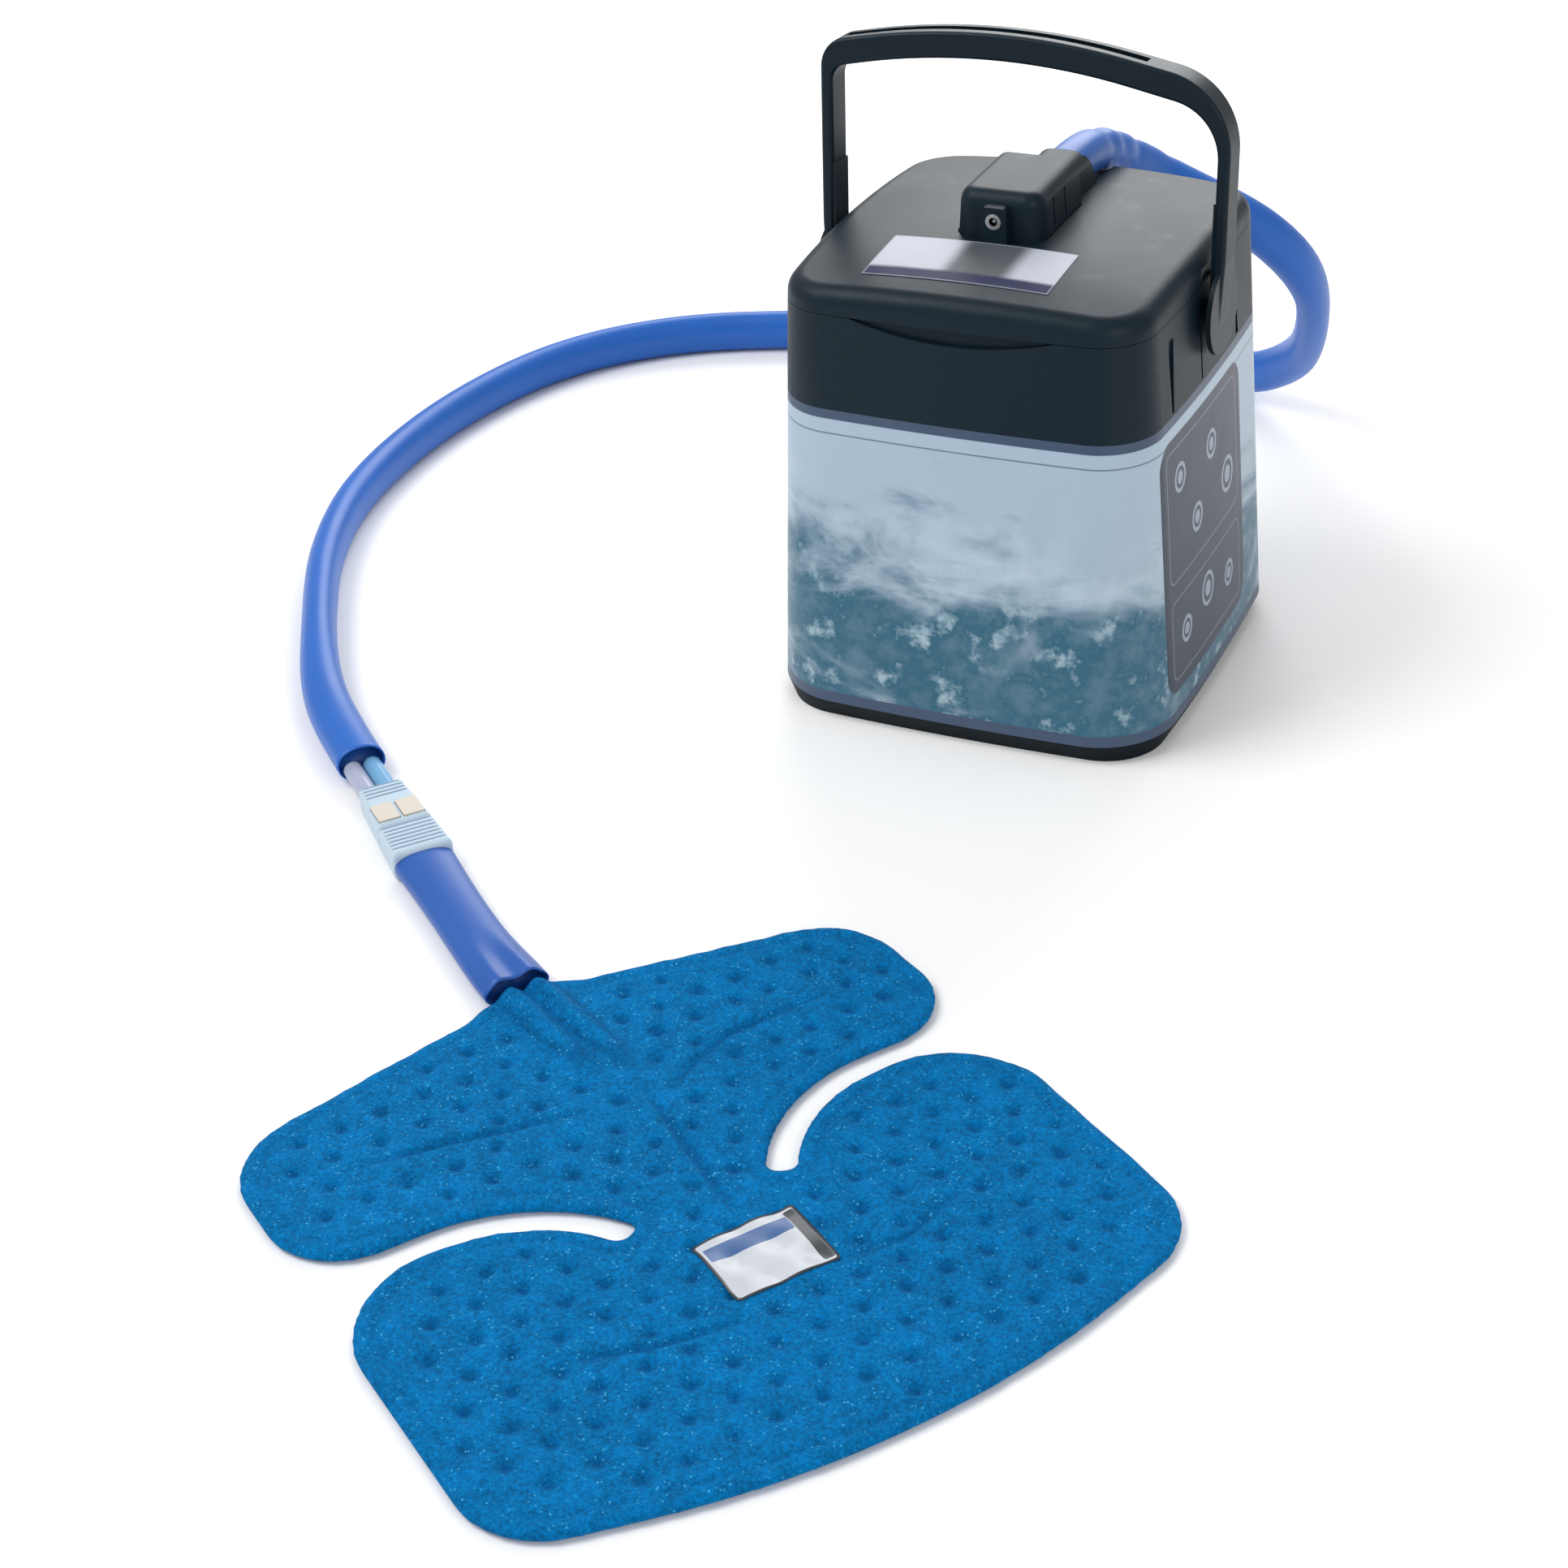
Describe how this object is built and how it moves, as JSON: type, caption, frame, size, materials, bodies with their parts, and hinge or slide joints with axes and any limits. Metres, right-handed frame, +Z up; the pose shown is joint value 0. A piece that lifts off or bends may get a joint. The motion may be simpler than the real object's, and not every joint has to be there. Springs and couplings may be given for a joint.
{
  "type": "cold therapy machine",
  "caption": "Insulated ice bucket with a lid pump, swinging carry handle, sleeved twin hose, quick coupling and a notched blue knee pad",
  "frame": {"origin": "middle of the bucket's foot, on the floor", "axes": "+Z up; the bucket's front with the power inlet faces -Y; the handle's hinge runs along X; the hose lies on the floor round the left side to the pad in front"},
  "size_m": [0.6587, 1.0246, 0.3235],
  "materials": {
    "slate_plastic": "fine satin texture",
    "boot_rubber": "matte",
    "shell_plastic": "satin",
    "printed_film": "satin film",
    "foam_white": "closed cell foam",
    "liner_white": "smooth",
    "handle_plastic": "satin",
    "seal_silicone": "soft",
    "jack_metal": "polished",
    "jack_plastic": "matte",
    "pump_plastic": "matte",
    "motor_metal": "zinc plated",
    "board_green": "lacquered",
    "clear_tube": "clear PVC",
    "blue_tube": "tinted PVC",
    "hose_blue": "soft vinyl sleeve",
    "coupling_grey": "satin",
    "thumb_cream": "satin",
    "spring_steel": "bright",
    "pad_blue": "brushed loop cloth",
    "bladder_film": "welded film",
    "label_white": "printed film, blank"
  },
  "bodies": {
    "cooler": {"base_bumper": "boot_rubber", "outer_shell": "shell_plastic", "label_wrap": "printed_film", "foam_insulation": "foam_white", "inner_liner": "liner_white", "top_collar": "slate_plastic", "pivot_pin_left": "slate_plastic", "pivot_pin_right": "slate_plastic", "hose_run": "hose_blue", "tube_supply": "clear_tube", "tube_return": "blue_tube", "coupling_body": "coupling_grey", "latch_spring_a": "spring_steel", "latch_spring_b": "spring_steel"},
    "handle": {"handle_bail": "handle_plastic"},
    "lid": {"lid_shell": "slate_plastic", "lid_liner": "liner_white", "lid_foam": "foam_white", "lid_gasket": "seal_silicone", "pump_cover": "slate_plastic", "hose_spout": "slate_plastic", "jack_body": "jack_plastic", "jack_ring": "jack_metal", "jack_pin": "jack_metal", "pump_motor": "motor_metal", "pump_housing": "pump_plastic", "pump_column": "pump_plastic", "intake_strainer": "pump_plastic", "inner_supply_tube": "clear_tube", "inner_return_tube": "clear_tube", "control_board": "board_green", "lid_screws": "spring_steel", "lid_sticker": "label_white", "hose_outlet": "hose_blue"},
    "impeller": {"impeller": "pump_plastic", "motor_shaft": "spring_steel"},
    "latch_a": {"latch_plate_a": "thumb_cream"},
    "latch_b": {"latch_plate_b": "thumb_cream"},
    "pad": {"coupling_insert": "coupling_grey", "probe_a": "coupling_grey", "probe_b": "coupling_grey", "coupling_seals": "boot_rubber", "pad_sleeve": "hose_blue", "pad_cover_top": "pad_blue", "pad_bladder": "bladder_film", "pad_cover_bottom": "pad_blue", "pad_label": "label_white"}
  },
  "joints": [
    {"name": "handle_swing", "type": "hinge", "parent": "cooler", "child": "handle", "pos_m": [0, 0, 0.2], "axis": [1, 0, 0], "range_deg": [0, 95]},
    {"name": "lid_lift", "type": "slide", "parent": "cooler", "child": "lid", "axis": [0, 0, 1], "range_m": [0, 0.04]},
    {"name": "impeller_spin", "type": "hinge", "parent": "lid", "child": "impeller", "pos_m": [0, 0, 0.073], "axis": [0, 0, 1], "continuous": true},
    {"name": "latch_a_press", "type": "slide", "parent": "cooler", "child": "latch_a", "axis": [0, 0, -1], "range_m": [0, 0.002], "stiffness_N_per_m": 400, "deforming": ["latch_spring_a"]},
    {"name": "latch_b_press", "type": "slide", "parent": "cooler", "child": "latch_b", "axis": [0, 0, -1], "range_m": [0, 0.002], "stiffness_N_per_m": 400, "deforming": ["latch_spring_b"]},
    {"name": "pad_pull", "type": "slide", "parent": "cooler", "child": "pad", "axis": [0.7547, -0.6561, 0], "range_m": [0, 0.05]}
  ]
}
